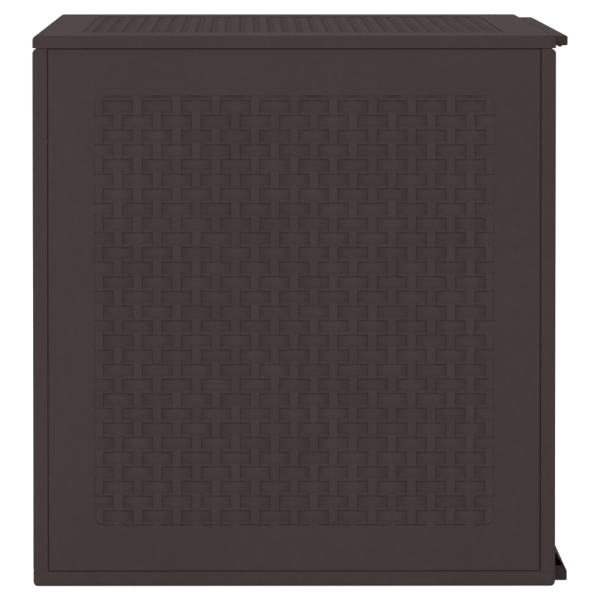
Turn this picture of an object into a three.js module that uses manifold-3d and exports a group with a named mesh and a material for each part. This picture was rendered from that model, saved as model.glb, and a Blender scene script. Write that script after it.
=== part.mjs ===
// Rattan-look garden storage box: five moulded panels on a base tray, under a hinged lid.
// Millimetres, +Z up. X runs along the length and -Y is the front, where the lid is lifted.
// The origin is on the ground under the middle of the whole box.

import * as THREE from 'three';
import { mergeVertices } from 'three/addons/utils/BufferGeometryUtils.js';
import Module from 'manifold-3d';

const wasm = await Module();
wasm.setup();

// ---- Driving dimensions ----------------------------------------------------------------

const length = 1130; // outside, end to end
const bodyDepth = 535; // outside, front panel to back panel
const height = 565; // ground to lid top
const frontReach = 15; // how far the pull rail and the base ledge stand out in front

const footHeight = 0.6; // moulded feet below the tray's edge
const footLength = 60;
const footWidth = 36;
const footRadius = 8;
const footInset = 40; // from the tray's ends and sides
const baseHeight = 15.4; // tray, above the feet
const trayTopRadius = 0.6;
const trayPockets = { along: 6, across: 3 }; // hollows between the ribs under the tray
const lidSkirtHeight = 13;
const seamGap = 0.5; // between the wall panels and the lid

const panelThickness = 15; // wall panels, over their ribs
const skin = 3; // wall of every moulding
const ribThickness = 3;
const panelGap = 0.3; // between neighbouring panels
const panelEdgeRadius = 3;
const endPanelRadius = 2.4; // all round the outer face of an end panel
const panelFootRadius = 3; // bottom outer edge of the front and back panels
const longPanelPockets = { along: 5, up: 2 }; // hollows between the ribs inside a panel
const endPanelPockets = { along: 2, up: 2 };
const topEdgeRadius = 5; // top outer edge of the front and back panels, and of the lid
const cornerRadius = 6; // upright corners of the lid and the tray

const fieldDepth = 2; // the woven field lies this far under its frame
const fieldMargin = 47.5; // plain frame round the woven field of a wall panel
const fieldEndMargin = 63; // the same, at the ends of the front and back panels
const fieldRadius = 9;
const lidFieldMargin = 47.5; // lid frame at the front and back
const lidFieldEndMargin = 142.5; // lid frame at the two ends

const rimThickness = 3; // rain rim on the wall panels, inside the lid skirt
const rimClearance = 3; // between the rain rim and the lid skirt
const rimTopClearance = 2; // between the rain rim and the underside of the lid
const upstandHeight = 20; // tray rib that stands inside the wall panels
const fit = 0.35; // clearance between pieces that touch

const railInset = 79; // pull rail stops this far from each end
const kickInset = 72; // kick strip and base ledge stop this far from each end
const railDrop = 1.9; // rail top under lid top
const railHeight = 10;
const railPlate = 3;
const railLipWidth = 5.8; // outer flange of the rail
const railBeadWidth = 4; // rounded bead behind the flange
const railBeadDrop = 1.3; // bead below the flange
const railEndWall = 2; // closes each end of the groove behind the bead
const railEndGap = 1.2; // between that wall and the lid
const kickTop = 36; // height of the kick strip on the front panel
const kickBottom = 9.7;
const kickThickness = 1.2;
const ledgeRadius = 1.5;
const railEdgeRadius = 1.5;
const railBeadRadius = 1.2;

const hingeOffsets = { left: -340, centre: 0, right: 340 };
const hingeWidth = 60;
const hingeLeafHeight = 38;
const hingeLeafReach = 40; // lid leaf, under the lid
const hingeLeafThickness = 2.5;
const knuckleRadius = 5;
const knuckleWidth = 18; // each of the two on the body leaf
const knuckleGap = 0.5;
const pinRadius = 1.5;
const hingePadWidth = 68; // thicker stretch of the panel and the lid behind the leaves
const hingePadMargin = 6; // pad below the body leaf
const hingeScrewSpread = 18; // from the middle of the leaf
const hingeScrewReach = 27; // from the hinge axis

const braceWidth = 26; // lid stiffeners, an open channel
const braceDepth = 12;
const braceWall = 1.5;
const braceFlange = 10;
const braceEndFlange = 20; // flat foot at each end
const braceInset = 95; // from each end of the lid
const braceSpread = 105; // from the middle of the lid

const lugPlateWidth = 44; // padlock lug on the front panel
const lugPlateHeight = 34;
const lugPlateThickness = 2.5;
const lugReach = 14;
const lugThickness = 6;
const lugEyeRadius = 4;
const lugEyeReach = 9.2; // eye centre in front of the panel
const lugTopClearance = 5; // plate top under the wall top
const lugPlateRadius = 4;
const lugFinRoot = 13; // half height of the fin at the plate
const lugFinTip = 8; // half height of the fin at its tip
const lugFinRadius = 5;
const tabFlangeWidth = 40;
const tabFlangeThickness = 2.4;
const tabFlangeLift = 0.8; // flange bottom over the lid bottom
const tabNeckDrop = 2; // neck runs this far below the wall top before the fin widens
const lockScrewSpread = 14; // from the middle of the box
const lockNotchMargin = 4; // rain rim stops this far beside the flange

const screwRadius = 1.8;
const screwHeadRadius = 3.3;
const screwHeadHeight = 2;
const smallScrewRadius = 1.2;
const smallScrewHeadRadius = 2.2;
const smallScrewHeadHeight = 1.4;
const cornerScrewInsetZ = 95; // from the top and the bottom of the walls
const cornerScrewShank = 11;
const bodyLeafScrewShank = 10;
const lidLeafScrewShank = 8.5;
const braceScrewBite = 3; // into the lid
const boreSpare = 0.5; // blind bores run on past their screw

const arcSteps = 4;
const roundSides = 12;

// ---- Places that follow ----------------------------------------------------------------

const halfLength = length / 2;
const depthOverall = bodyDepth + frontReach + knuckleRadius;
const frontY = -depthOverall / 2 + frontReach; // outer face of the front panel
const backY = frontY + bodyDepth; // outer face of the back panel
const middleY = (frontY + backY) / 2;
const baseTop = footHeight + baseHeight;
const lidBottom = height - lidSkirtHeight;
const wallTop = lidBottom - seamGap;
const hingeZ = lidBottom - seamGap / 2;
const trayWall = 2 * skin; // round the tray's rounded lower edge
const panelWall = fieldDepth + skin; // wall of a panel frame, ahead of its pockets
const cornerScrewInset = panelWall + (panelThickness - panelWall) / 2;
const lidPlate = fieldDepth + skin + 0.5; // lid frame, above the hollow of the lid
const lidHollowTop = height - lidPlate;
const rimInset = skin + rimClearance;
const rimTop = lidHollowTop - rimTopClearance;
const railHalf = halfLength - railInset;
const kickHalf = halfLength - kickInset;
const cornerScrewHeights = { lower: baseTop + cornerScrewInsetZ, upper: wallTop - cornerScrewInsetZ };

// ---- Colours ---------------------------------------------------------------------------

const brownPlastic = { color: 0x453b3a, roughness: 0.62, metalness: 0 };
const zincSteel = { color: 0x9a9c9e, roughness: 0.38, metalness: 1 };
const paintedSteel = { color: 0x2b2827, roughness: 0.5, metalness: 0.2 };

// ---- Solids ----------------------------------------------------------------------------

function solid(geometry) {
  geometry.deleteAttribute('normal');
  geometry.deleteAttribute('uv');
  const merged = mergeVertices(geometry, 1e-3);
  const corners = merged.index.array;
  const kept = [];
  for (let i = 0; i < corners.length; i += 3) {
    const [a, b, c] = corners.subarray(i, i + 3);
    if (a !== b && b !== c && c !== a) kept.push(a, b, c);
  }
  return new wasm.Manifold(new wasm.Mesh({
    numProp: 3,
    vertProperties: new Float32Array(merged.attributes.position.array),
    triVerts: new Uint32Array(kept),
  }));
}

function block([x0, x1], [y0, y1], [z0, z1]) {
  const geometry = new THREE.BoxGeometry(x1 - x0, y1 - y0, z1 - z0);
  geometry.translate((x0 + x1) / 2, (y0 + y1) / 2, (z0 + z1) / 2);
  return solid(geometry);
}

// Outline with a round of its own radius at each corner given as [x, y, radius].
function filleted(corners) {
  const outline = [];
  corners.forEach(([x, y, radius = 0], i) => {
    const corner = new THREE.Vector2(x, y);
    if (radius === 0) {
      outline.push(corner);
      return;
    }
    const [beforeX, beforeY] = corners.at(i - 1);
    const [afterX, afterY] = corners[(i + 1) % corners.length];
    const before = new THREE.Vector2(beforeX, beforeY).sub(corner).normalize();
    const after = new THREE.Vector2(afterX, afterY).sub(corner).normalize();
    const halfAngle = Math.acos(before.dot(after)) / 2;
    const middle = before.clone().add(after).normalize();
    const centre = corner.clone().addScaledVector(middle, radius / Math.sin(halfAngle));
    const start = corner.clone().addScaledVector(before, radius / Math.tan(halfAngle)).sub(centre);
    const turn = Math.sign(before.cross(after)) * (Math.PI - 2 * halfAngle);
    for (let k = 0; k <= arcSteps; k += 1) {
      const swung = start.clone().rotateAround(new THREE.Vector2(), -turn * k / arcSteps);
      outline.push(swung.add(centre));
    }
  });
  return outline;
}

function extruded(corners, depth) {
  return new THREE.ExtrudeGeometry(new THREE.Shape(filleted(corners)), { depth, bevelEnabled: false });
}

// Outline in (y, z), run along X.
function barX(corners, [x0, x1]) {
  const geometry = extruded(corners, x1 - x0);
  geometry.rotateX(Math.PI / 2).rotateZ(Math.PI / 2).translate(x0, 0, 0);
  return solid(geometry);
}

// Outline in (x, z), run along Y.
function barY(corners, [y0, y1]) {
  const geometry = extruded(corners, y1 - y0);
  geometry.rotateX(Math.PI / 2).translate(0, y1, 0);
  return solid(geometry);
}

// Outline in (x, y), run along Z.
function barZ(corners, [z0, z1]) {
  const geometry = extruded(corners, z1 - z0);
  geometry.translate(0, 0, z0);
  return solid(geometry);
}

function rounded([x0, x1], [y0, y1], radius) {
  return [[x0, y0, radius], [x1, y0, radius], [x1, y1, radius], [x0, y1, radius]];
}

// Cylinder between two heights on an axis through (u, v); the flats of a bore clear its radius.
function rod(axis, [u, v], [from, to], radius) {
  const geometry = new THREE.CylinderGeometry(radius, radius, to - from, roundSides);
  const middle = (from + to) / 2;
  if (axis === 'x') geometry.rotateZ(Math.PI / 2).translate(middle, u, v);
  if (axis === 'y') geometry.translate(u, middle, v);
  if (axis === 'z') geometry.rotateX(Math.PI / 2).translate(u, v, middle);
  return solid(geometry);
}

function bore(axis, centre, span, radius) {
  return rod(axis, centre, span, (radius + fit) / Math.cos(Math.PI / roundSides));
}

function joined(first, ...rest) {
  return rest.reduce((sum, piece) => sum.add(piece), first);
}

function cut(body, ...tools) {
  return tools.reduce((left, tool) => left.subtract(tool), body);
}

const group = new THREE.Group();

function addPart(name, body, finish) {
  const { vertProperties, triVerts } = body.getMesh();
  const geometry = new THREE.BufferGeometry();
  geometry.setAttribute('position', new THREE.BufferAttribute(new Float32Array(vertProperties), 3));
  geometry.setIndex(new THREE.BufferAttribute(new Uint32Array(triVerts), 1));
  geometry.computeVertexNormals();
  const mesh = new THREE.Mesh(geometry, new THREE.MeshStandardMaterial({ ...finish, flatShading: true }));
  mesh.name = name;
  group.add(mesh);
  return mesh;
}

// Even pockets in a span, with ribs between them.
function pockets([from, to], count) {
  const width = (to - from - ribThickness * (count - 1)) / count;
  return Array.from({ length: count }, (_, i) => {
    const start = from + i * (width + ribThickness);
    return [start, start + width];
  });
}

// ---- Screws ----------------------------------------------------------------------------

// Pan-head screw whose head sits on the origin; the shank runs along +Y.
function screwGeometry(radius, headRadius, headHeight, shank) {
  const profile = [
    [0, -headHeight],
    [headRadius * 0.7, -headHeight],
    [headRadius, -headHeight * 0.35],
    [headRadius, 0],
    [radius, 0],
    [radius, shank - radius],
    [0, shank],
  ];
  const points = profile.map(([r, y]) => new THREE.Vector2(r, y));
  const drive = rod('y', [0, 0], [-headHeight - 1, -headHeight * 0.5], headRadius * 0.38);
  return cut(solid(new THREE.LatheGeometry(points, roundSides)), drive);
}

function addScrew(name, [x, y, z], direction, shank, small = false) {
  const body = small
    ? screwGeometry(smallScrewRadius, smallScrewHeadRadius, smallScrewHeadHeight, shank)
    : screwGeometry(screwRadius, screwHeadRadius, screwHeadHeight, shank);
  const mesh = addPart(name, body, zincSteel);
  const toward = new THREE.Vector3(...direction);
  mesh.quaternion.setFromUnitVectors(new THREE.Vector3(0, 1, 0), toward);
  mesh.position.set(x, y, z).addScaledVector(toward, -fit);
  return mesh;
}

// ---- Base tray -------------------------------------------------------------------------

function kickSlope(z) { // how far the kick strip stands out in front at a height
  return frontReach * (kickTop - z) / (kickTop - kickBottom);
}

const kickLean = Math.atan2(frontReach, kickTop - kickBottom);
const kickAcross = kickThickness / Math.cos(kickLean);

function baseTray() {
  const xSpan = [-halfLength, halfLength];
  const ySpan = [frontY, backY];
  const zSpan = [footHeight, baseTop];
  const plan = barZ(rounded(xSpan, ySpan, cornerRadius), zSpan);
  const endView = barX([
    [frontY, footHeight, topEdgeRadius],
    [backY, footHeight, topEdgeRadius],
    [backY, baseTop, trayTopRadius],
    [frontY, baseTop, trayTopRadius],
  ], xSpan);
  const frontView = barY([
    [-halfLength, footHeight, topEdgeRadius],
    [halfLength, footHeight, topEdgeRadius],
    [halfLength, baseTop, trayTopRadius],
    [-halfLength, baseTop, trayTopRadius],
  ], ySpan);
  const ledgeTop = baseTop - 2 * fit;
  const seat = kickAcross + fit / Math.cos(kickLean);
  const ledge = barX([
    [frontY + trayWall, 0],
    [frontY + trayWall, ledgeTop],
    [frontY - kickSlope(ledgeTop) + seat, ledgeTop],
    [frontY - frontReach + seat, kickBottom - fit],
    [frontY - frontReach, kickBottom - fit],
    [frontY - frontReach, 0, ledgeRadius],
  ], [-kickHalf, kickHalf]);
  const upstandInset = panelThickness + fit;
  const upstandOuter = block(
    [-halfLength + upstandInset, halfLength - upstandInset],
    [frontY + upstandInset, backY - upstandInset],
    [baseTop - 1, baseTop + upstandHeight],
  );
  const upstandInner = block(
    [-halfLength + upstandInset + skin, halfLength - upstandInset - skin],
    [frontY + upstandInset + skin, backY - upstandInset - skin],
    [baseTop - 1, baseTop + upstandHeight + 1],
  );
  const hollows = [];
  for (const x of pockets([-halfLength + trayWall, halfLength - trayWall], trayPockets.along)) {
    for (const y of pockets([frontY + trayWall, backY - trayWall], trayPockets.across)) {
      hollows.push(block(x, y, [footHeight - 1, baseTop - skin]));
    }
  }
  const tray = cut(plan.intersect(endView).intersect(frontView), ...hollows);
  return joined(tray, ledge, cut(upstandOuter, upstandInner), ...feet());
}

function feet() {
  const rowY = [frontY + footInset + footWidth / 2, backY - footInset - footWidth / 2];
  const columnX = [-halfLength + footInset + footLength / 2, 0, halfLength - footInset - footLength / 2];
  return rowY.flatMap((y) => columnX.map((x) => barZ(
    rounded([x - footLength / 2, x + footLength / 2], [y - footWidth / 2, y + footWidth / 2], footRadius),
    [0, baseTop - 1],
  )));
}

// ---- Wall panels -----------------------------------------------------------------------

const wallSpan = [baseTop, wallTop];
const fieldZ = [baseTop + fieldMargin, wallTop - fieldMargin];

// Front panel as it stands; the back panel is its mirror image before hinges and lug differ.
function longPanel() {
  const innerY = frontY + panelThickness;
  const outline = barX([
    [frontY, baseTop, panelFootRadius],
    [innerY, baseTop],
    [innerY, wallTop],
    [frontY, wallTop, topEdgeRadius],
  ], [-halfLength, halfLength]);
  const plan = barZ([
    [-halfLength, frontY, panelEdgeRadius],
    [halfLength, frontY, panelEdgeRadius],
    [halfLength, innerY],
    [-halfLength, innerY],
  ], wallSpan);
  const fieldX = [-halfLength + fieldEndMargin, halfLength - fieldEndMargin];
  const field = barY(rounded(fieldX, fieldZ, fieldRadius), [frontY - 1, frontY + fieldDepth]);
  const solidEnd = panelThickness + ribThickness; // takes the corner screws
  const hollows = [];
  for (const x of pockets([-halfLength + solidEnd, halfLength - solidEnd], longPanelPockets.along)) {
    for (const z of pockets([baseTop + ribThickness, wallTop - ribThickness], longPanelPockets.up)) {
      hollows.push(block(x, [frontY + panelWall, innerY + 1], z));
    }
  }
  const rim = block(
    [-halfLength + rimInset, halfLength - rimInset],
    [frontY + rimInset, frontY + rimInset + rimThickness],
    [wallTop - 1, rimTop],
  );
  const screws = [];
  for (const side of [-1, 1]) {
    for (const z of Object.values(cornerScrewHeights)) {
      const place = [side * (halfLength - cornerScrewInset), z];
      screws.push(bore('y', place, [frontY + panelWall, innerY + 1], screwRadius));
    }
  }
  return cut(joined(outline.intersect(plan), rim), field, ...hollows, ...screws);
}

function backPanel() {
  const innerY = backY - panelThickness;
  let panel = longPanel().mirror([0, 1, 0]).translate([0, 2 * middleY, 0]);
  for (const x of Object.values(hingeOffsets)) {
    const padX = [x - hingePadWidth / 2, x + hingePadWidth / 2];
    const leafX = [x - hingeWidth / 2 - fit, x + hingeWidth / 2 + fit];
    const padBottom = hingeZ - hingeLeafHeight - hingePadMargin;
    const pad = block(padX, [innerY, backY - hingeLeafThickness - 1], [padBottom, wallTop - 1]);
    const leafSeat = block(
      leafX,
      [backY - hingeLeafThickness - fit, backY + 1],
      [hingeZ - hingeLeafHeight - fit, wallTop + 1],
    );
    const knuckleSeat = rod('x', [backY, hingeZ], leafX, knuckleRadius + 2 * fit);
    const rimNotch = block(padX, [backY - rimInset - rimThickness - 1, backY], [wallTop, height]);
    const screws = [-1, 1].map((side) => bore(
      'y',
      [x + side * hingeScrewSpread, hingeZ - hingeScrewReach],
      [backY - bodyLeafScrewShank - boreSpare, backY],
      screwRadius,
    ));
    panel = cut(joined(panel, pad), leafSeat, knuckleSeat, rimNotch, ...screws);
  }
  return panel;
}

function frontPanel() {
  const lugScrews = [-1, 1].map((side) => bore(
    'y',
    [side * lockScrewSpread, lugMiddleZ],
    [frontY - 1, frontY + panelWall + 1],
    smallScrewRadius,
  ));
  const lockNotch = block(
    [-tabFlangeWidth / 2 - lockNotchMargin, tabFlangeWidth / 2 + lockNotchMargin],
    [frontY, frontY + rimInset + rimThickness + 1],
    [wallTop, height],
  );
  return cut(longPanel(), lockNotch, ...lugScrews);
}

// End panel on the +X side; the other is its mirror image.
function endPanel() {
  const ySpan = [frontY + panelThickness + panelGap, backY - panelThickness - panelGap];
  const innerX = halfLength - panelThickness;
  const plan = barZ([
    [innerX, ySpan[0]],
    [halfLength, ySpan[0], endPanelRadius],
    [halfLength, ySpan[1], endPanelRadius],
    [innerX, ySpan[1]],
  ], wallSpan);
  const view = barY([
    [innerX, baseTop],
    [halfLength, baseTop, endPanelRadius],
    [halfLength, wallTop, endPanelRadius],
    [innerX, wallTop],
  ], ySpan);
  const fieldY = [ySpan[0] + fieldMargin, ySpan[1] - fieldMargin];
  const field = barX(rounded(fieldY, fieldZ, fieldRadius), [halfLength - fieldDepth, halfLength + 1]);
  const hollows = [];
  for (const y of pockets([ySpan[0] + ribThickness, ySpan[1] - ribThickness], endPanelPockets.along)) {
    for (const z of pockets([baseTop + ribThickness, wallTop - ribThickness], endPanelPockets.up)) {
      hollows.push(block([innerX - 1, halfLength - panelWall], y, z));
    }
  }
  const rim = block(
    [halfLength - rimInset - rimThickness, halfLength - rimInset],
    ySpan,
    [wallTop - 1, rimTop],
  );
  const screws = Object.values(cornerScrewHeights).map((z) => bore(
    'y',
    [halfLength - cornerScrewInset, z],
    [ySpan[0] - 1, ySpan[1] + 1],
    screwRadius,
  ));
  return cut(joined(plan.intersect(view), rim), field, ...hollows, ...screws);
}

// ---- Kick strip and pull rail ----------------------------------------------------------

function kickStrip() {
  const panelSide = frontY - fit;
  const innerTop = kickTop - (kickAcross + fit) * (kickTop - kickBottom) / frontReach;
  const outerTop = kickTop - fit * (kickTop - kickBottom) / frontReach;
  return barX([
    [frontY - frontReach, kickBottom],
    [frontY - frontReach + kickAcross, kickBottom],
    [panelSide, innerTop],
    [panelSide, outerTop],
  ], [-kickHalf, kickHalf]);
}

function pullRail() {
  const top = height - railDrop;
  const outer = frontY - frontReach;
  const lipBack = outer + railLipWidth;
  const beadBack = lipBack + railBeadWidth;
  const beadBottom = top - railHeight - railBeadDrop;
  const rail = barX([
    [outer, top, railEdgeRadius],
    [outer, top - railHeight, railEdgeRadius],
    [lipBack, top - railHeight],
    [lipBack, beadBottom, railBeadRadius],
    [beadBack, beadBottom, railBeadRadius],
    [beadBack, top - railPlate],
    [frontY - fit, top - railPlate],
    [frontY - fit, top],
  ], [-railHalf, railHalf]);
  const endWalls = [-railHalf, railHalf - railEndWall].map((start) => block(
    [start, start + railEndWall],
    [beadBack - 1, frontY - railEndGap],
    [top - railHeight, top - railPlate + 1],
  ));
  return joined(rail, ...endWalls);
}

// ---- Lid -------------------------------------------------------------------------------

const hingeBossBottom = hingeZ + seamGap + hingeLeafThickness + fit;
const leafBottom = hingeZ + seamGap;

function lidShell() {
  const xSpan = [-halfLength, halfLength];
  const ySpan = [frontY, backY];
  const plan = barZ(rounded(xSpan, ySpan, cornerRadius), [lidBottom, height]);
  const endView = barX([
    [frontY, lidBottom],
    [backY, lidBottom],
    [backY, height, topEdgeRadius],
    [frontY, height, topEdgeRadius],
  ], xSpan);
  const frontView = barY([
    [-halfLength, lidBottom],
    [halfLength, lidBottom],
    [halfLength, height, topEdgeRadius],
    [-halfLength, height, topEdgeRadius],
  ], ySpan);
  const hollow = block(
    [-halfLength + skin, halfLength - skin],
    [frontY + skin, backY - skin],
    [lidBottom - 1, lidHollowTop],
  );
  const field = barZ(rounded(
    [-halfLength + lidFieldEndMargin, halfLength - lidFieldEndMargin],
    [frontY + lidFieldMargin, backY - lidFieldMargin],
    fieldRadius,
  ), [height - fieldDepth, height + 1]);
  let lid = cut(plan.intersect(endView).intersect(frontView), hollow, field);
  for (const x of Object.values(hingeOffsets)) {
    lid = withHingeSeat(lid, x);
  }
  const braceScrews = braceScrewPlaces().map((place) => bore(
    'z',
    place,
    [lidHollowTop - 1, lidHollowTop + braceScrewBite + boreSpare],
    smallScrewRadius,
  ));
  const tabScrews = [-1, 1].map((side) => bore(
    'y',
    [side * lockScrewSpread, tabMiddleZ],
    [frontY - 1, frontY + skin + 1],
    smallScrewRadius,
  ));
  return cut(lid, ...braceScrews, ...tabScrews);
}

function withHingeSeat(lid, x) {
  const leafX = [x - hingeWidth / 2 - fit, x + hingeWidth / 2 + fit];
  const boss = block(
    [x - hingePadWidth / 2, x + hingePadWidth / 2],
    [backY - hingeLeafReach - 2, backY - skin + 0.5],
    [hingeBossBottom, lidHollowTop + 1],
  );
  const leafSlot = block(leafX, [backY - skin - 1, backY + 1], [lidBottom - 1, hingeBossBottom]);
  const knuckleSeat = rod('x', [backY, hingeZ], leafX, knuckleRadius + 2 * fit);
  const screws = [-1, 1].map((side) => bore(
    'z',
    [x + side * hingeScrewSpread, backY - hingeScrewReach],
    [hingeBossBottom - 1, leafBottom + lidLeafScrewShank + boreSpare],
    screwRadius,
  ));
  return cut(joined(lid, boss), leafSlot, knuckleSeat, ...screws);
}

// ---- Lid braces ------------------------------------------------------------------------

function braceCentres() {
  return { front: middleY - braceSpread, rear: middleY + braceSpread };
}

function braceScrewPlaces() {
  return Object.values(braceCentres()).flatMap((y) => braceScrewColumns().map((x) => [x, y]));
}

function braceScrewColumns() {
  const reach = halfLength - braceInset - braceEndFlange / 2;
  return [-reach, reach];
}

// Pressed channel, open upwards, with a flat foot at each end that takes a screw.
function lidBrace(y) {
  const top = lidHollowTop - fit;
  const half = braceWidth / 2;
  const channelHalf = halfLength - braceInset - braceEndFlange;
  const channel = barX([
    [y - half - braceFlange, top],
    [y - half - braceFlange, top - braceWall],
    [y - half, top - braceWall],
    [y - half, top - braceDepth],
    [y + half, top - braceDepth],
    [y + half, top - braceWall],
    [y + half + braceFlange, top - braceWall],
    [y + half + braceFlange, top],
    [y + half - braceWall, top],
    [y + half - braceWall, top - braceDepth + braceWall],
    [y - half + braceWall, top - braceDepth + braceWall],
    [y - half + braceWall, top],
  ], [-channelHalf, channelHalf]);
  const footHalf = halfLength - braceInset;
  const footSpans = [[-footHalf, 1 - channelHalf], [channelHalf - 1, footHalf]];
  const braceFeet = footSpans.map((span) => block(
    span,
    [y - half - braceFlange, y + half + braceFlange],
    [top - braceWall, top],
  ));
  const screws = braceScrewColumns().map((x) => bore(
    'z',
    [x, y],
    [top - braceWall - 1, top + 1],
    smallScrewRadius,
  ));
  return cut(joined(channel, ...braceFeet), ...screws);
}

// ---- Hinges ----------------------------------------------------------------------------

function pinBore(x) {
  return bore('x', [backY, hingeZ], [x - hingeWidth, x + hingeWidth], pinRadius);
}

function bodyLeaf(x) {
  const back = backY - hingeLeafThickness;
  const plate = block(
    [x - hingeWidth / 2, x + hingeWidth / 2],
    [back, backY],
    [hingeZ - hingeLeafHeight, hingeZ - knuckleRadius - 2 * fit],
  );
  const knuckles = [-1, 1].flatMap((side) => {
    const ends = [x + side * hingeWidth / 2, x + side * (hingeWidth / 2 - knuckleWidth)];
    const span = [Math.min(...ends), Math.max(...ends)];
    return [
      rod('x', [backY, hingeZ], span, knuckleRadius),
      block(span, [back, backY], [hingeZ - knuckleRadius - 1, hingeZ]),
    ];
  });
  const screws = [-1, 1].map((side) => bore(
    'y',
    [x + side * hingeScrewSpread, hingeZ - hingeScrewReach],
    [back - 1, backY + 1],
    screwRadius,
  ));
  return cut(joined(plate, ...knuckles), pinBore(x), ...screws);
}

function lidLeaf(x) {
  const half = hingeWidth / 2 - knuckleWidth - knuckleGap;
  const thickness = [leafBottom, leafBottom + hingeLeafThickness];
  const plate = block(
    [x - hingeWidth / 2, x + hingeWidth / 2],
    [backY - hingeLeafReach, backY - knuckleRadius - 2 * fit],
    thickness,
  );
  const neck = block([x - half, x + half], [backY - knuckleRadius - 1, backY], thickness);
  const knuckle = rod('x', [backY, hingeZ], [x - half, x + half], knuckleRadius);
  const screws = [-1, 1].map((side) => bore(
    'z',
    [x + side * hingeScrewSpread, backY - hingeScrewReach],
    [leafBottom - 1, leafBottom + hingeLeafThickness + 1],
    screwRadius,
  ));
  return cut(joined(plate, neck, knuckle), pinBore(x), ...screws);
}

function addHinge(side, x) {
  addPart(`hinge_${side}_body_leaf`, bodyLeaf(x), zincSteel);
  addPart(`hinge_${side}_lid_leaf`, lidLeaf(x), zincSteel);
  const pinSpan = [x - hingeWidth / 2, x + hingeWidth / 2];
  addPart(`hinge_${side}_pin`, rod('x', [backY, hingeZ], pinSpan, pinRadius), zincSteel);
  for (const [hand, sign] of Object.entries({ a: -1, b: 1 })) {
    const screwX = x + sign * hingeScrewSpread;
    const bodyPlace = [screwX, backY, hingeZ - hingeScrewReach];
    const lidPlace = [screwX, backY - hingeScrewReach, leafBottom];
    addScrew(`hinge_${side}_body_screw_${hand}`, bodyPlace, [0, -1, 0], bodyLeafScrewShank);
    addScrew(`hinge_${side}_lid_screw_${hand}`, lidPlace, [0, 0, 1], lidLeafScrewShank);
  }
}

// ---- Padlock lug and tab ---------------------------------------------------------------

const lugMiddleZ = wallTop - lugTopClearance - lugPlateHeight / 2;
const tabFlangeZ = [lidBottom + tabFlangeLift, height - railDrop - railPlate - fit];
const tabMiddleZ = (lidBottom + lidHollowTop) / 2;
const eyeZ = lugMiddleZ;
const eyeY = frontY - lugEyeReach;

function lockLug() {
  const face = frontY - fit;
  const plate = barY(rounded(
    [-lugPlateWidth / 2, lugPlateWidth / 2],
    [lugMiddleZ - lugPlateHeight / 2, lugMiddleZ + lugPlateHeight / 2],
    lugPlateRadius,
  ), [face - lugPlateThickness, face]);
  const fin = barX([
    [face - 1, eyeZ - lugFinRoot],
    [face - 1, eyeZ + lugFinRoot],
    [frontY - lugReach, eyeZ + lugFinTip, lugFinRadius],
    [frontY - lugReach, eyeZ - lugFinTip, lugFinRadius],
  ], [-lugThickness - fit, -fit]);
  const eye = rod('x', [eyeY, eyeZ], [-lugThickness - 1, 1], lugEyeRadius);
  const screws = [-1, 1].map((side) => bore(
    'y',
    [side * lockScrewSpread, lugMiddleZ],
    [face - lugPlateThickness - 1, face + 1],
    smallScrewRadius,
  ));
  return cut(joined(plate, fin), eye, ...screws);
}

function lockTab() {
  const face = frontY - fit;
  const flange = block(
    [-tabFlangeWidth / 2, tabFlangeWidth / 2],
    [face - tabFlangeThickness, face],
    tabFlangeZ,
  );
  const finBack = face - lugPlateThickness - 2 * fit;
  const beadBack = frontY - frontReach + railLipWidth + railBeadWidth;
  const fin = barX([
    [finBack, eyeZ - lugFinTip, lugFinRadius / 2],
    [finBack, wallTop],
    [face - 1, tabFlangeZ[0] + 1],
    [face - 1, tabFlangeZ[1]],
    [beadBack + fit, tabFlangeZ[1]],
    [beadBack + fit, wallTop - tabNeckDrop],
    [frontY - lugReach, eyeZ + lugFinTip],
    [frontY - lugReach, eyeZ - lugFinTip, lugFinRadius],
  ], [fit, lugThickness + fit]);
  const eye = rod('x', [eyeY, eyeZ], [-1, lugThickness + 1], lugEyeRadius);
  const screws = [-1, 1].map((side) => bore(
    'y',
    [side * lockScrewSpread, tabMiddleZ],
    [face - tabFlangeThickness - 1, face + 1],
    smallScrewRadius,
  ));
  return cut(joined(flange, fin), eye, ...screws);
}

// ---- The assembly ----------------------------------------------------------------------

addPart('base_tray', baseTray(), brownPlastic);
addPart('front_panel', frontPanel(), brownPlastic);
addPart('back_panel', backPanel(), brownPlastic);
addPart('right_end_panel', endPanel(), brownPlastic);
addPart('left_end_panel', endPanel().mirror([1, 0, 0]), brownPlastic);
addPart('front_kick_strip', kickStrip(), brownPlastic);
addPart('lid_shell', lidShell(), brownPlastic);
addPart('lid_pull_rail', pullRail(), brownPlastic);

for (const [place, y] of Object.entries(braceCentres())) {
  addPart(`lid_brace_${place}`, lidBrace(y), paintedSteel);
  const undersideZ = lidHollowTop - fit - braceWall;
  const shank = braceWall + braceScrewBite;
  const [left, right] = braceScrewColumns();
  for (const [hand, x] of Object.entries({ left, right })) {
    addScrew(`lid_brace_${place}_screw_${hand}`, [x, y, undersideZ], [0, 0, 1], shank, true);
  }
}

for (const [side, x] of Object.entries(hingeOffsets)) {
  addHinge(side, x);
}

for (const [hand, sign] of Object.entries({ left: -1, right: 1 })) {
  for (const [level, z] of Object.entries(cornerScrewHeights)) {
    const x = sign * (halfLength - cornerScrewInset);
    const reach = panelThickness + panelGap + ribThickness; // to the inside of the end panel's flange
    const tail = `${hand}_${level}`;
    addScrew(`corner_screw_front_${tail}`, [x, frontY + reach, z], [0, -1, 0], cornerScrewShank);
    addScrew(`corner_screw_rear_${tail}`, [x, backY - reach, z], [0, 1, 0], cornerScrewShank);
  }
}

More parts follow.
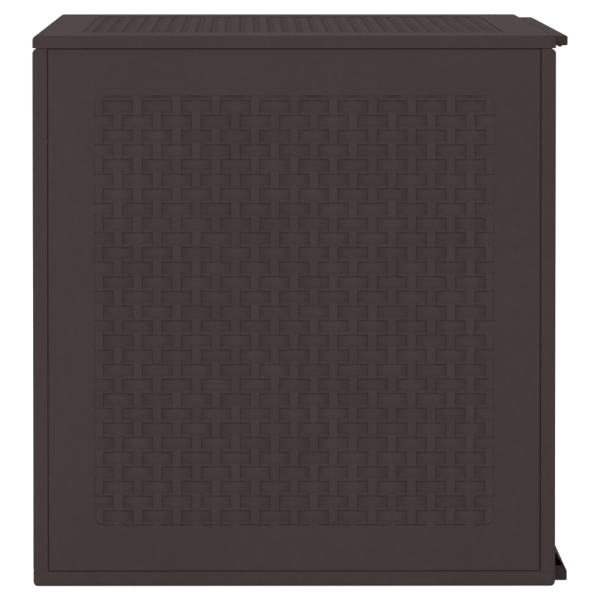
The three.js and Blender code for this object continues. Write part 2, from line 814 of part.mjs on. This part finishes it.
addPart('lock_lug', lockLug(), brownPlastic);
addPart('lock_tab', lockTab(), brownPlastic);
for (const [hand, sign] of Object.entries({ left: -1, right: 1 })) {
  const lugPlace = [sign * lockScrewSpread, frontY + panelWall, lugMiddleZ];
  const tabPlace = [sign * lockScrewSpread, frontY + skin, tabMiddleZ];
  addScrew(`lock_lug_screw_${hand}`, lugPlace, [0, -1, 0], panelWall + lugPlateThickness, true);
  addScrew(`lock_tab_screw_${hand}`, tabPlace, [0, -1, 0], skin + tabFlangeThickness, true);
}

export default group;
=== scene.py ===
"""Looks of the rattan-look garden storage box: moulded weave, grained plastic, plated hinges."""

import math

import bmesh
import bpy
import numpy as np
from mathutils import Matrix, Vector


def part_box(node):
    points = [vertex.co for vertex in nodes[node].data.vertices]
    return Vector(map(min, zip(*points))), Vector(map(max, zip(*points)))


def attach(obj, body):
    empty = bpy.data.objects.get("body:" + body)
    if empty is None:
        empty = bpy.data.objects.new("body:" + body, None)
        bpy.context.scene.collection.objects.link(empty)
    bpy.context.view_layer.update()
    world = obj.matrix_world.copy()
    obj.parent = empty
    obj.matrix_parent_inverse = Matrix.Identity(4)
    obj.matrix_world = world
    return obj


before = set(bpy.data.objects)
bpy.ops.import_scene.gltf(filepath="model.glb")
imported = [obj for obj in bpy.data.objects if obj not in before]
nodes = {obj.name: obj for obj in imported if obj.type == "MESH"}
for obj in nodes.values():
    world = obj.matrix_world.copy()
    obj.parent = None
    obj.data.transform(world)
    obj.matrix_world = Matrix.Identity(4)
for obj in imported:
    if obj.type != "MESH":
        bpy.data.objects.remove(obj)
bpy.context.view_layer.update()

MM = 0.001

# ---- Places taken from the frame --------------------------------------------------------

lid_low, lid_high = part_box("lid_shell")
left_low, left_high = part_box("left_end_panel")
front_low, front_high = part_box("front_panel")

SEAM_GAP = 0.5 * MM  # between the wall panels and the lid
FIELD_MARGIN = 47.5 * MM  # plain frame over, under and beside a woven field
FIELD_END_MARGIN = 63 * MM  # the same, at the two ends of a long panel
LID_END_MARGIN = 142.5 * MM  # the same, at the two ends of the lid
FIELD_RADIUS = 9 * MM
FIELD_CLEARANCE = 0.05 * MM  # between the weave and the edge of its recess

wall_bottom = front_low.z
wall_top = lid_low.z - SEAM_GAP
field_top = wall_top - FIELD_MARGIN
field_height = field_top - (wall_bottom + FIELD_MARGIN)

# ---- Camera and studio ------------------------------------------------------------------

CAMERA_DISTANCE = 7.66  # from the near end of the box
CAMERA_INBOARD = 0.222  # from the outer face of the back panel
CAMERA_HEIGHT = 0.735
LENS = 450.1
SENSOR = 36.0
FAR_CLIP = 100
LOOK_RIGHT = math.radians(0.384)  # towards the front of the box
LOOK_DOWN = math.radians(3.29)

WORLD_STRENGTH = 0.6
LIGHT_AIM = (0, 0, 0.3)  # about the middle of the box
SOFTBOXES = {  # place, width and height, power; the strongest stands at the near end
    "near_softbox": ((-5.9, 1.2, 2.0), (3.5, 2.5), 230),
    "front_softbox": ((1.6, -5.4, 2.6), (4.0, 2.0), 190),
    "back_softbox": ((0.8, 5.5, 2.6), (4.0, 2.0), 110),
    "far_softbox": ((6.0, -0.5, 2.6), (3.0, 2.0), 90),
    "top_softbox": ((0.0, 0.0, 5.0), (5.0, 4.0), 120),
}
FLOOR_SIZE = 100


def link(thing):
    bpy.context.scene.collection.objects.link(thing)


def point_at(thing, direction):
    """Turns a camera or a light to look along a direction."""
    thing.rotation_mode = "QUATERNION"
    thing.rotation_quaternion = direction.to_track_quat("-Z", "Y")


def make_camera():
    camera_data = bpy.data.cameras.new("camera")
    camera_data.lens = LENS
    camera_data.sensor_width = SENSOR
    camera_data.clip_end = FAR_CLIP
    camera = bpy.data.objects.new("camera", camera_data)
    link(camera)
    camera.location = (lid_low.x - CAMERA_DISTANCE, lid_high.y - CAMERA_INBOARD, CAMERA_HEIGHT)
    point_at(camera, Vector((
        math.cos(LOOK_DOWN) * math.cos(LOOK_RIGHT),
        -math.cos(LOOK_DOWN) * math.sin(LOOK_RIGHT),
        -math.sin(LOOK_DOWN),
    )))
    bpy.context.scene.camera = camera


def make_softbox(name, place, size, power):
    light_data = bpy.data.lights.new(name, "AREA")
    light_data.shape = "RECTANGLE"
    light_data.size, light_data.size_y = size
    light_data.energy = power
    light = bpy.data.objects.new(name, light_data)
    link(light)
    light.location = place
    point_at(light, Vector(LIGHT_AIM) - Vector(place))
    light.visible_camera = False


def make_studio():
    world = bpy.data.worlds.new("studio")
    bpy.context.scene.world = world
    world.use_nodes = True
    background = world.node_tree.nodes["Background"]
    background.inputs["Color"].default_value = (1, 1, 1, 1)
    background.inputs["Strength"].default_value = WORLD_STRENGTH
    bpy.context.scene.view_settings.view_transform = "Standard"
    bpy.context.scene.view_settings.look = "None"
    for name, (place, size, power) in SOFTBOXES.items():
        make_softbox(name, place, size, power)


# ---- Shader maths -----------------------------------------------------------------------


class Value:
    """A number that changes over a surface. Arithmetic on it adds Math nodes."""

    def __init__(self, finish, socket):
        self.finish = finish
        self.socket = socket

    def maths(self, operation, first, second):
        return self.finish.node("ShaderNodeMath", {"operation": operation}, {0: first, 1: second})

    def __add__(self, other):
        return self.maths("ADD", self, other)

    def __radd__(self, other):
        return self.maths("ADD", other, self)

    def __sub__(self, other):
        return self.maths("SUBTRACT", self, other)

    def __rsub__(self, other):
        return self.maths("SUBTRACT", other, self)

    def __mul__(self, other):
        return self.maths("MULTIPLY", self, other)

    def __rmul__(self, other):
        return self.maths("MULTIPLY", other, self)


class Finish:
    """One material, with a Principled shader and the nodes that drive it."""

    def __init__(self, name, roughness=0.5, metallic=0.0, specular=0.5):
        self.material = bpy.data.materials.new(name)
        self.material.use_nodes = True
        self.tree = self.material.node_tree
        self.shader = self.tree.nodes["Principled BSDF"]
        self.shader.inputs["Roughness"].default_value = roughness
        self.shader.inputs["Metallic"].default_value = metallic
        self.shader.inputs["Specular IOR Level"].default_value = specular

    def node(self, kind, settings=None, inputs=None, output=0):
        """Adds a node: its settings first, then a number, colour or link for each named socket."""
        made = self.tree.nodes.new(kind)
        for key, value in (settings or {}).items():
            setattr(made, key, value)
        for key, value in (inputs or {}).items():
            if isinstance(value, Value):
                self.tree.links.new(value.socket, made.inputs[key])
            else:
                made.inputs[key].default_value = value
        return Value(self, made.outputs[output])

    def mix(self, amount, first, second):
        """A colour between two colours. The colour sockets of a Mix node are its 6, 7 and 2."""
        return self.node("ShaderNodeMix", {"data_type": "RGBA"}, {0: amount, 6: first, 7: second}, 2)

    def place(self):
        return self.node("ShaderNodeTexCoord", output="Object")

    def stretched(self, scale):
        return self.node("ShaderNodeVectorMath", {"operation": "MULTIPLY"}, {0: self.place(), 1: scale})

    def attribute(self, name):
        return self.node("ShaderNodeAttribute", {"attribute_name": name}, output="Fac")

    def noise(self, vector, scale, detail=2.0, rough=0.5):
        inputs = {"Vector": vector, "Scale": scale, "Detail": detail, "Roughness": rough}
        return self.node("ShaderNodeTexNoise", None, inputs)

    def limits(self, value, low, high):
        """0 below low, 1 above high, smooth between."""
        settings = {"interpolation_type": "SMOOTHSTEP"}
        return self.node("ShaderNodeMapRange", settings, {"Value": value, 1: low, 2: high})

    def bump(self, height, strength, distance):
        inputs = {"Height": height, "Strength": strength, "Distance": distance}
        return self.node("ShaderNodeBump", None, inputs)

    def drive(self, **links):
        for name, value in links.items():
            self.tree.links.new(value.socket, self.shader.inputs[name.replace("_", " ")])
        return self.material


def rgba(red, green, blue):
    return (red, green, blue, 1.0)


# ---- Finishes ---------------------------------------------------------------------------

BROWN = rgba(0.0405, 0.0299, 0.029)
BROWN_DEEP = rgba(0.0358, 0.0263, 0.0255)
BROWN_WORN = rgba(0.048, 0.037, 0.036)
# Painted shade colour for grooves, recesses and the ends of cross straps.
BROWN_PAINTED_SHADE = rgba(0.008, 0.005, 0.0048)
PAINTED_SHADE_STRENGTH = 0.45  # how far the colour goes to the painted shade brown where the weave's painted light is 0
ZINC_DULL = rgba(0.42, 0.43, 0.44)
ZINC_BRIGHT = rgba(0.62, 0.63, 0.64)
PAINT_DEEP = rgba(0.02, 0.018, 0.017)
PAINT = rgba(0.03, 0.027, 0.026)
FLOOR_DEEP = rgba(0.23, 0.23, 0.23)
FLOOR_PALE = rgba(0.27, 0.27, 0.27)
FLOOR_GLOW = 0.85

MATTE = 0.008  # specular level of the dull plastic
WEAR_RADIUS = 1.2 * MM
WEAR = 0.5  # how worn an outer edge is
STREAK_WIDTH = 950.0  # noise scale across a strap
STREAK_LENGTH = 38.0  # noise scale along a strap
BROAD_STREAK = 0.32  # scale of the broad streaks against the fine ones


def edge_mask(finish, radius):
    """1 on worn outer edges and 0 on open faces."""
    rounded = finish.node("ShaderNodeBevel", {"samples": 4}, {"Radius": radius})
    flat = finish.node("ShaderNodeNewGeometry", output="Normal")
    facing = finish.node("ShaderNodeVectorMath", {"operation": "DOT_PRODUCT"}, {0: rounded, 1: flat}, "Value")
    return finish.limits(1 - facing, low=0.01, high=0.12)


def moulded_plastic():
    finish = Finish("moulded_plastic", roughness=0.55, specular=MATTE)
    cloud = finish.noise(finish.place(), scale=5.0, detail=3.0)
    mottle = finish.noise(finish.place(), scale=160.0, detail=2.0)
    grain = finish.noise(finish.place(), scale=1400.0, detail=1.5)
    shade = finish.limits(0.55 * cloud + 0.45 * mottle, low=0.3, high=0.7)
    colour = finish.mix(shade, BROWN_DEEP, BROWN)
    colour = finish.mix(WEAR * edge_mask(finish, WEAR_RADIUS), colour, BROWN_WORN)
    return finish.drive(
        Base_Color=colour,
        Roughness=0.82 + 0.12 * mottle + 0.06 * grain,
        Normal=finish.bump(grain, strength=0.25, distance=0.12 * MM),
    )


def strap_plastic(name, along):
    """Fibre-like streaks run along one axis of the box, as on peeled cane."""
    finish = Finish(name, roughness=0.5, specular=MATTE)
    fine = tuple(STREAK_LENGTH if axis == along else STREAK_WIDTH for axis in "xyz")
    broad = tuple(scale * BROAD_STREAK for scale in fine)
    streaks = finish.noise(finish.stretched(fine), scale=1.0, detail=2.5, rough=0.6)
    bands = finish.noise(finish.stretched(broad), scale=1.0, detail=2.0)
    cloud = finish.noise(finish.place(), scale=9.0, detail=2.0)
    tone = finish.attribute("strap_tone")
    # Painted shade of the weave, read from the mesh.
    painted_light = finish.attribute("painted_light")
    shade = 0.34 * streaks + 0.26 * bands + 0.2 * cloud + 0.2 * tone
    colour = finish.mix(finish.limits(shade, low=0.3, high=0.68), BROWN_DEEP, BROWN)
    # Painted shade: the grooves, the ends of cross straps and the lid's bands darken towards a dark
    # painted-shade brown.
    colour = finish.mix(PAINTED_SHADE_STRENGTH * (1 - painted_light), colour, BROWN_PAINTED_SHADE)
    return finish.drive(
        Base_Color=colour,
        Roughness=0.78 + 0.18 * streaks,
        Normal=finish.bump(streaks, strength=0.35, distance=0.16 * MM),
    )


def zinc_plate():
    """Brushed along the length of the box."""
    finish = Finish("zinc_plate", metallic=1.0)
    cloud = finish.noise(finish.place(), scale=60.0, detail=3.0)
    brushed = finish.noise(finish.stretched((60.0, 1500.0, 1500.0)), scale=1.0, detail=2.0)
    return finish.drive(
        Base_Color=finish.mix(finish.limits(cloud, low=0.3, high=0.7), ZINC_DULL, ZINC_BRIGHT),
        Roughness=0.3 + 0.2 * brushed,
        Normal=finish.bump(brushed, strength=0.2, distance=0.05 * MM),
    )


def coated_steel():
    """Powder coat with a faint orange peel."""
    finish = Finish("coated_steel", roughness=0.45)
    cloud = finish.noise(finish.place(), scale=30.0, detail=2.0)
    peel = finish.noise(finish.place(), scale=700.0, detail=1.0)
    return finish.drive(
        Base_Color=finish.mix(finish.limits(cloud, low=0.3, high=0.7), PAINT_DEEP, PAINT),
        Roughness=0.38 + 0.14 * peel,
        Normal=finish.bump(peel, strength=0.3, distance=0.1 * MM),
    )


def floor_finish():
    finish = Finish("pale_floor", roughness=0.9, specular=0.1)
    cloud = finish.noise(finish.place(), scale=1.5, detail=2.0)
    finish.shader.inputs["Emission Color"].default_value = (1, 1, 1, 1)
    finish.shader.inputs["Emission Strength"].default_value = FLOOR_GLOW
    colour = finish.mix(finish.limits(cloud, low=0.2, high=0.8), FLOOR_DEEP, FLOOR_PALE)
    return finish.drive(Base_Color=colour)


PLASTIC = moulded_plastic()
STRAPS = {axis: strap_plastic(f"strap_plastic_{axis}", axis) for axis in "xyz"}
ZINC = zinc_plate()
COATED = coated_steel()

# ---- Sizes of the moulded weave ---------------------------------------------------------

COLUMN_PITCH = 19.9 * MM  # the field takes the nearest pitch that fills it
ROW_PITCH = 15.0 * MM

# On plan, across an upright strap.
STRAP_WIDTH = 8.9 * MM
STRAP_EDGE = 0.3 * MM  # rounded edge
FOOT = 0.5 * MM  # side wall
FOOT_REACH = 1.5 * FOOT  # a cross strap is pressed down this near to an upright

# On plan, down one row: groove, face of the cross strap, ledge under it.
GROOVE = 0.35 * MM
RAMP = 0.9 * MM  # side of the groove
FACE_TOP = 2.0 * MM  # a cross strap is flat from here
FACE_ROLL = 7.2 * MM  # its lower edge starts to roll over here
ROLL_LINE = 1.2 * MM  # above the end of the face
FACE_END = 11.2 * MM
LEDGE_START = 11.75 * MM
LEDGE_END = 14.1 * MM
LEDGE_SPLIT = (FACE_END + LEDGE_START) / 2  # below this a point is on the ledge

# Heights over the plane of the panel's frame.
UPRIGHT_TOP = -0.28 * MM
CROSS_TOP = -0.2 * MM
LEDGE_TOP = -0.95 * MM
LEDGE_LIP = -0.6 * MM
FLOOR = -1.1 * MM
END_FLOOR = -0.85 * MM  # groove at the end of an upright
LID_LEDGE = -0.75 * MM
LID_FLOOR = -0.75 * MM
BACK = -1.96 * MM

# How far a strap falls away from its top.
CROSS_DIP = 0.78 * MM  # where a cross strap goes under
LID_CROSS_DIP = 1.0 * MM
LID_END_DROP = 0.6 * MM  # last straps across the lid lie lower than the rest
FOOT_FALL = 0.1 * MM  # a cross strap beside an upright
EDGE_FALL = 0.18 * MM  # long edges of an upright
END_FALL = 0.5 * MM  # end of an upright
END_FALL_LENGTH = 1.1 * MM
TOP_EDGE_FALL = 0.35 * MM  # upper edge of a cross strap
ROLL_FALL = 0.3 * MM  # its lower edge

# Painted shade in the weave's colour: 1 leaves a place on a strap unshaded, 0 paints a place deep in a groove
# darkest.
GROOVE_PAINTED_LIGHT = 0.1
END_PAINTED_LIGHT = 0.45  # at the end of an upright
LEDGE_PAINTED_LIGHT = 0.85
FOOT_PAINTED_LIGHT = 0.5  # beside an upright, against the strap there
UNDER_SHADE = 0.5  # where a cross strap goes under
UNDER_START = 0.25  # as a share of the way there
EDGE_SHADE = 0.12
LID_BAND_SHADE = 0.5  # painted shade: darker bands between the straps of the lid
LID_BAND_START = FACE_END - 1.3 * MM
LID_BAND_END = 0.1 * MM

# Lines of the mesh.
CURVE_LINE = 0.55  # on an upright, as a share of its half width
WAIST_LINE = 2.2 * MM  # on a cross strap, from the middle between two uprights
EDGE_SPACE = 0.12 * MM  # no line lies nearer to the edge of the field
LINE_SPACE = 0.1 * MM  # nor to the line before it
TOUCH = 0.001 * MM
ROUND_OFF = 1e-6  # of a row
SHARP_ANGLE = math.radians(32)
UPRIGHT, CROSS = 0, 1  # material slots of a woven field


class Weave:
    """A plain weave of upright and cross straps over one field."""

    def __init__(self, width, height, seed, fine):
        self.width = width
        self.height = height
        self.half = STRAP_WIDTH / 2
        self.columns = round((width - STRAP_WIDTH) / COLUMN_PITCH) + 1
        self.pitch = (width - STRAP_WIDTH) / (self.columns - 1)
        self.row_pitch = ROW_PITCH
        self.rows = math.floor(height / ROW_PITCH)
        self.lead = height - self.rows * ROW_PITCH
        self.sink = CROSS_DIP
        self.floor = FLOOR
        self.ledge = LEDGE_TOP
        self.band_shade = 0
        self.low_column = None
        draw = np.random.RandomState(seed)
        self.upright_tone = draw.rand(self.columns + 2, self.rows + 3)
        self.cross_tone = draw.rand(self.columns + 2, self.rows + 3)
        self.fine = fine
        self.rounded = fine  # more lines over the rolled edges of the straps

    def fit_lid(self):
        """On the lid a row starts at one side and a bare strap ends at the other, over bands of painted
        shade.
        """
        self.columns = round(self.width / COLUMN_PITCH)
        self.pitch = self.width / self.columns
        self.rows = math.floor(self.height / ROW_PITCH)
        self.row_pitch = self.height / (self.rows - 1 + FACE_END / ROW_PITCH)
        self.rounded = True
        self.lead = 0
        self.sink = LID_CROSS_DIP
        self.floor = LID_FLOOR
        self.ledge = LID_LEDGE
        self.band_shade = LID_BAND_SHADE
        self.low_column = self.columns - 1

    def across_lines(self):
        half = self.half
        steps = [0, half - STRAP_EDGE, half, half + FOOT, self.pitch / 2]
        if self.rounded:
            steps += [half + 2 * FOOT]
        if self.fine:
            steps += [half * CURVE_LINE, self.pitch / 2 - WAIST_LINE]
        centres = [half + column * self.pitch for column in range(self.columns)]
        lines = [centre + side * step for centre in centres for step in steps for side in (-1, 1)]
        return spaced(lines, self.width)

    def down_lines(self):
        steps = [0, GROOVE, GROOVE + RAMP, FACE_ROLL, FACE_END, LEDGE_START, LEDGE_END]
        if self.rounded:
            steps += [FACE_END - ROLL_LINE]
        if self.fine:
            steps += [FACE_TOP]
        tops = [self.lead + row * self.row_pitch for row in range(-1, self.rows)]
        return spaced([top + step for top in tops for step in steps], self.height)

    def strap_at(self, across, down):
        """Where a point lies: column, offset from its strap, row, distance under the top of the row."""
        column = min(max(round((across - self.half) / self.pitch), 0), self.columns - 1)
        offset = abs(across - self.half - column * self.pitch)
        row = math.floor((down - self.lead) / self.row_pitch + ROUND_OFF)
        return column, offset, row, down - self.lead - row * self.row_pitch

    def upright_shows(self, column, row, under):
        if row < 0:
            return column % 2 == 0
        return (column + row) % 2 == 0 or under > LEDGE_SPLIT

    def tone_at(self, across, down):
        """Each strap has a tone of its own wherever it shows."""
        column, offset, row, under = self.strap_at(across, down)
        if self.upright_shows(column, row, under) and offset <= self.half + TOUCH:
            return self.upright_tone[column, (row + 2) // 2]
        return self.cross_tone[column // 2, row + 2]

    def slot_at(self, across, down):
        column, offset, row, under = self.strap_at(across, down)
        on_upright = self.upright_shows(column, row, under) and offset < self.half + FOOT
        return UPRIGHT if on_upright else CROSS

    def surface_at(self, across, down):
        """Height over the frame plane, and the painted light of the place: 1 unshaded, lower where shade is
        painted.
        """
        column, offset, row, under = self.strap_at(across, down)
        over = (column + row) % 2 == 0
        shows = self.upright_shows(column, row, under)
        lift, painted_light = self.strap_surface(offset, row, under, over, shows)
        # Painted shade: darker bands on the lid at the top and bottom of each row.
        if under > LID_BAND_START or under < LID_BAND_END:
            painted_light -= self.band_shade
        if column == self.low_column and (shows or over):
            lift -= LID_END_DROP
        return lift, painted_light

    def strap_surface(self, offset, row, under, over, shows):
        if shows and offset <= self.half + TOUCH:
            return self.upright_surface(offset, over or row < 0, under)
        # Painted shade: the groove and the end of an upright get a darker colour.
        if under <= GROOVE + TOUCH:
            if offset <= self.half and not over:
                return max(END_FLOOR, self.floor), END_PAINTED_LIGHT
            return self.floor, GROOVE_PAINTED_LIGHT
        if under > LEDGE_SPLIT:
            share = (under - LEDGE_START) / (LEDGE_END - LEDGE_START)
            lift = self.ledge + (LEDGE_LIP - LEDGE_TOP) * share
            painted_light = LEDGE_PAINTED_LIGHT + (1 - LEDGE_PAINTED_LIGHT) * share
        else:
            reach = self.pitch - offset if over else offset
            lift, painted_light = self.cross_surface(reach, under)
        # Painted shade beside an upright, against the cross strap.
        if shows and offset < self.half + FOOT_REACH:
            return lift - FOOT_FALL, FOOT_PAINTED_LIGHT * painted_light
        return lift, painted_light

    def upright_surface(self, offset, over, under):
        start = under + self.row_pitch - LEDGE_START if over else under - LEDGE_START
        dip = END_FALL * math.exp(-max(start, 0) / END_FALL_LENGTH)
        edge = (offset / self.half) ** 4
        # Painted shade along the long edges of an upright.
        return UPRIGHT_TOP - dip - EDGE_FALL * edge, 1 - EDGE_SHADE * edge

    def cross_surface(self, reach, under):
        share = min(reach / (self.pitch - self.half), 1.0)
        top_edge = max(FACE_TOP - under, 0) / (FACE_TOP - GROOVE)
        roll = max(under - FACE_ROLL, 0) / (FACE_END - FACE_ROLL)
        lift = CROSS_TOP - self.sink * share ** 2 - TOP_EDGE_FALL * top_edge - ROLL_FALL * roll ** 2
        # Painted shade where the cross strap goes under, and on its rolled lower edge.
        shade = UNDER_SHADE * max(share - UNDER_START, 0) / (1 - UNDER_START)
        return lift, (1 - shade) * (1 - EDGE_SHADE * roll)


def spaced(lines, end):
    """Sorted lines from 0 to the end of a field, without those too close together for the mesh."""
    inner = {round(line, 7) for line in lines if EDGE_SPACE < line < end - EDGE_SPACE}
    kept = [0.0]
    for line in sorted(inner | {end}):
        if line - kept[-1] > LINE_SPACE:
            kept.append(line)
    kept[-1] = end
    return kept


def round_corner(across, down, width, height, radius):
    """Bends a point near a corner of the field inside its rounded outline."""
    centre_across = min(max(across, radius), width - radius)
    centre_down = min(max(down, radius), height - radius)
    reach_across, reach_down = across - centre_across, down - centre_down
    if reach_across == 0 or reach_down == 0:
        return across, down
    share = max(abs(reach_across), abs(reach_down)) / math.hypot(reach_across, reach_down)
    return centre_across + reach_across * share, centre_down + reach_down * share


# ---- Woven fields -----------------------------------------------------------------------


def relief_points(weave, columns, rows, corner, across, down, outward):
    """Points of the relief, with the painted shade of each and the tone of its strap."""
    places, painted_light_places, tones = [], [], []
    for line in columns:
        for drop in rows:
            lift, painted_light = weave.surface_at(line, drop)
            bent = round_corner(line, drop, weave.width, weave.height, FIELD_RADIUS)
            places.append(corner + across * bent[0] + down * bent[1] + outward * lift)
            painted_light_places.append(painted_light)
            tones.append(weave.tone_at(line, drop))
    return places, painted_light_places, tones


def relief_faces(weave, columns, rows):
    """Faces between neighbouring points, with the material slot of each."""
    faces, slots = [], []
    count = len(rows)
    for i in range(len(columns) - 1):
        for j in range(count - 1):
            first, beside = i * count + j, (i + 1) * count + j
            faces.append((first, first + 1, beside + 1, beside))
            slots.append(weave.slot_at((columns[i] + columns[i + 1]) / 2, (rows[j] + rows[j + 1]) / 2))
    return faces, slots


def relief_rim(columns, rows):
    """Points round the edge of the relief, in order."""
    count, last = len(rows), len(columns) - 1
    top = [i * count for i in range(last + 1)]
    far_side = [last * count + j for j in range(1, count)]
    bottom = [i * count + count - 1 for i in range(last - 1, -1, -1)]
    near_side = list(range(count - 2, 0, -1))
    return top + far_side + bottom + near_side


def close_back(places, faces, rim, corner, outward):
    """Adds the side walls and the flat back, so that the relief is one closed solid."""
    start, turns = len(places), len(rim)
    for point in rim:
        lift = (places[point] - corner).dot(outward)
        places.append(places[point] + outward * (BACK - lift))
    for k in range(turns):
        after = (k + 1) % turns
        faces.append((rim[k], rim[after], start + after, start + k))
    faces.append(tuple(range(start, start + turns)))


def strap_finish(direction):
    """The plastic whose streaks run along a direction."""
    strongest = max(range(3), key=lambda axis: abs(direction[axis]))
    return STRAPS["xyz"[strongest]]


def woven_field(name, body, corner, across, down, outward, width, height, seed, fine=False, on_lid=False):
    """Weave relief as one closed solid in its recess; corner is the field's upper left on the frame plane."""
    across, down, outward = Vector(across), Vector(down), Vector(outward)
    corner = Vector(corner) + (across + down) * FIELD_CLEARANCE
    weave = Weave(width - 2 * FIELD_CLEARANCE, height - 2 * FIELD_CLEARANCE, seed, fine)
    if on_lid:
        weave.fit_lid()
    columns, rows = weave.across_lines(), weave.down_lines()
    places, painted_light_places, tones = relief_points(weave, columns, rows, corner, across, down, outward)
    faces, slots = relief_faces(weave, columns, rows)
    rim = relief_rim(columns, rows)
    close_back(places, faces, rim, corner, outward)
    slots += [CROSS] * (len(rim) + 1)
    if across.cross(-down).dot(outward) < 0:
        faces = [tuple(reversed(face)) for face in faces]
    mesh = bpy.data.meshes.new(name)
    mesh.from_pydata([tuple(place) for place in places], [], faces)
    mesh.update()
    mesh.materials.append(strap_finish(down))
    mesh.materials.append(strap_finish(across))
    mesh.polygons.foreach_set("material_index", slots)
    mesh.polygons.foreach_set("use_smooth", [True] * len(faces))
    mesh.set_sharp_from_angle(angle=SHARP_ANGLE)
    # The painted shade and each strap's tone go on the points as attributes.
    on_back = [0.0] * len(rim)
    for title, numbers in (("painted_light", painted_light_places), ("strap_tone", tones)):
        mesh.attributes.new(title, "FLOAT", "POINT").data.foreach_set("value", numbers + on_back)
    piece = bpy.data.objects.new(name, mesh)
    link(piece)
    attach(piece, body)


def weave_ends():
    width = left_high.y - left_low.y - 2 * FIELD_MARGIN
    left_corner = (left_low.x, left_high.y - FIELD_MARGIN, field_top)
    woven_field("weave_left_end", "box", left_corner, (0, -1, 0), (0, 0, -1), (-1, 0, 0),
                width, field_height, seed=11, fine=True)
    right_corner = (-left_low.x, left_low.y + FIELD_MARGIN, field_top)
    woven_field("weave_right_end", "box", right_corner, (0, 1, 0), (0, 0, -1), (1, 0, 0),
                width, field_height, seed=12, fine=True)


def weave_long_sides():
    width = front_high.x - front_low.x - 2 * FIELD_END_MARGIN
    front_corner = (front_low.x + FIELD_END_MARGIN, front_low.y, field_top)
    woven_field("weave_front", "box", front_corner, (1, 0, 0), (0, 0, -1), (0, -1, 0),
                width, field_height, seed=13)
    back_corner = (front_high.x - FIELD_END_MARGIN, lid_high.y, field_top)
    woven_field("weave_back", "box", back_corner, (-1, 0, 0), (0, 0, -1), (0, 1, 0),
                width, field_height, seed=14)


def weave_lid():
    width = lid_high.x - lid_low.x - 2 * LID_END_MARGIN
    depth = lid_high.y - lid_low.y - 2 * FIELD_MARGIN
    corner = (lid_low.x + LID_END_MARGIN, lid_high.y - FIELD_MARGIN, lid_high.z)
    woven_field("weave_lid", "lid", corner, (1, 0, 0), (0, -1, 0), (0, 0, 1),
                width, depth, seed=15, on_lid=True)


# ---- Finish of the CAD pieces -----------------------------------------------------------

MOULDED_EDGE = 0.22 * MM
PRESSED_EDGE = 0.15 * MM
WELD_DISTANCE = 0.01 * MM
FLAT_ANGLE = math.radians(0.5)


def softened(node, width):
    """Rounds a moulded or pressed edge, without touching the piece's own mesh."""
    weld = node.modifiers.new("weld", "WELD")
    weld.merge_threshold = WELD_DISTANCE
    flatten = node.modifiers.new("flatten", "DECIMATE")
    flatten.decimate_type = "DISSOLVE"
    flatten.angle_limit = FLAT_ANGLE
    bevel = node.modifiers.new("bevel", "BEVEL")
    bevel.width = width
    bevel.segments = 2
    bevel.limit_method = "ANGLE"
    bevel.angle_limit = SHARP_ANGLE
    normals = node.modifiers.new("normals", "WEIGHTED_NORMAL")
    normals.keep_sharp = True


def finish_of(name):
    if name.startswith("lid_brace") and "screw" not in name:
        return COATED
    if "screw" in name or name.startswith("hinge_"):
        return ZINC
    return PLASTIC


def finish_nodes():
    for name, node in nodes.items():
        material = finish_of(name)
        node.data.materials.clear()
        node.data.materials.append(material)
        node.data.polygons.foreach_set("use_smooth", [True] * len(node.data.polygons))
        softened(node, MOULDED_EDGE if material is PLASTIC else PRESSED_EDGE)


def make_floor():
    floor_mesh = bpy.data.meshes.new("floor")
    sheet = bmesh.new()
    bmesh.ops.create_grid(sheet, x_segments=4, y_segments=4, size=FLOOR_SIZE)
    sheet.to_mesh(floor_mesh)
    sheet.free()
    floor = bpy.data.objects.new("floor", floor_mesh)
    link(floor)
    floor_mesh.materials.append(floor_finish())


make_camera()
make_studio()
make_floor()
finish_nodes()
weave_ends()
weave_long_sides()
weave_lid()
